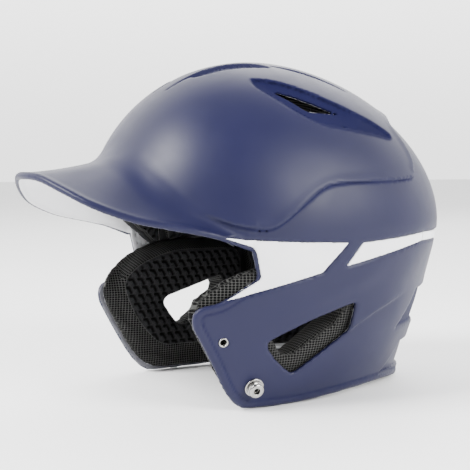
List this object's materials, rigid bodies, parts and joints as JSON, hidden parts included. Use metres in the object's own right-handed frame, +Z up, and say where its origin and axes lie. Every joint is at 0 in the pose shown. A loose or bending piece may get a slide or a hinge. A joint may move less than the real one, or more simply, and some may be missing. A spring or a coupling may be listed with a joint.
{
  "type": "batting helmet",
  "caption": "Double-flap batting helmet with a short brim, ear holes, vents, contrast inlays, foam and fabric padding, chin strap snaps and faceguard nuts.",
  "frame": {"origin": "middle of the lower rim's plane, centred between the sides and between brim tip and back", "axes": "-Y towards the brim, +X towards the wearer's left, +Z up"},
  "size_m": [0.206, 0.288, 0.214],
  "materials": {
    "shell": "satin navy moulded plastic, pale grey on the inside",
    "inlay": "smooth white",
    "liner_foam": "closed-cell foam, matte",
    "hook_patch": "hook and loop, matte",
    "pad_fabric": "air mesh sides and a face embossed with small chevrons",
    "nickel": "nickel plated"
  },
  "bodies": {
    "root": {"shell": "shell", "temple_inlay_left": "inlay", "side_inlay_left": "inlay", "temple_inlay_right": "inlay", "side_inlay_right": "inlay", "rear_inlay": "inlay", "brow_liner": "liner_foam", "brow_hook_patch": "hook_patch", "brow_pad": "pad_fabric", "rear_liner": "liner_foam", "rear_hook_patch": "hook_patch", "rear_pad": "pad_fabric", "crown_liner": "liner_foam", "crown_hook_patch": "hook_patch", "crown_pad": "pad_fabric", "side_liner_left": "liner_foam", "side_hook_patch_left": "hook_patch", "side_pad_left": "pad_fabric", "flap_pad_left": "pad_fabric", "flap_foam_left": "liner_foam", "flap_upper_hook_patch_left": "hook_patch", "flap_lower_hook_patch_left": "hook_patch", "chin_snap_washer_left": "nickel", "chin_snap_stud_left": "nickel", "chin_snap_rivet_left": "nickel", "faceguard_nut_left": "nickel", "side_liner_right": "liner_foam", "side_hook_patch_right": "hook_patch", "side_pad_right": "pad_fabric", "flap_pad_right": "pad_fabric", "flap_foam_right": "liner_foam", "flap_upper_hook_patch_right": "hook_patch", "flap_lower_hook_patch_right": "hook_patch", "chin_snap_washer_right": "nickel", "chin_snap_stud_right": "nickel", "chin_snap_rivet_right": "nickel", "faceguard_nut_right": "nickel"}
  },
  "joints": []
}
